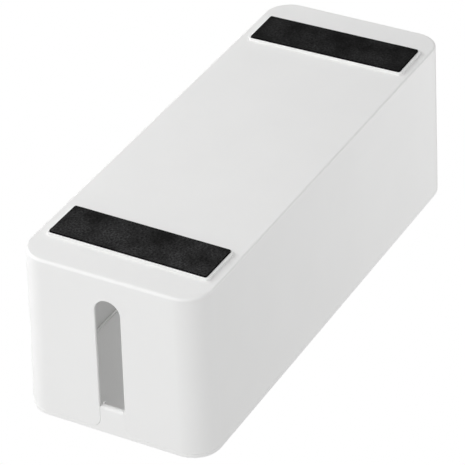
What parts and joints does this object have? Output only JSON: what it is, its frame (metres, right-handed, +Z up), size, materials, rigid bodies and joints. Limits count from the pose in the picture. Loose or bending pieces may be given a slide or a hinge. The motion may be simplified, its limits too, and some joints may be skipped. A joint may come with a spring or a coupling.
{
  "type": "cable tidy box",
  "caption": "Rounded rectangular cable tidy box in white plastic with an open-topped cable slot in each end wall, a lift-off lid with end tabs, and flat black foam foot pads.",
  "frame": {"origin": "centre of the footprint, on the surface that the foot pads stand on", "axes": "+X along the box towards the right-hand cable slot, +Y across it, +Z up through the lid"},
  "size_m": [0.4, 0.15, 0.1363],
  "materials": {
    "tub_plastic": "fine satin",
    "lid_plastic": "fine satin",
    "pad_foam": "fine-celled foam, matt",
    "pad_adhesive": "thin film"
  },
  "bodies": {
    "tub": {"box_body": "tub_plastic", "left_foot_pad": "pad_foam", "right_foot_pad": "pad_foam", "left_pad_adhesive": "pad_adhesive", "right_pad_adhesive": "pad_adhesive"},
    "lid": {"lid": "lid_plastic"}
  },
  "joints": [
    {"name": "lid_lift", "type": "slide", "parent": "tub", "child": "lid", "axis": [0, 0, 1], "range_m": [0, 0.1]}
  ]
}
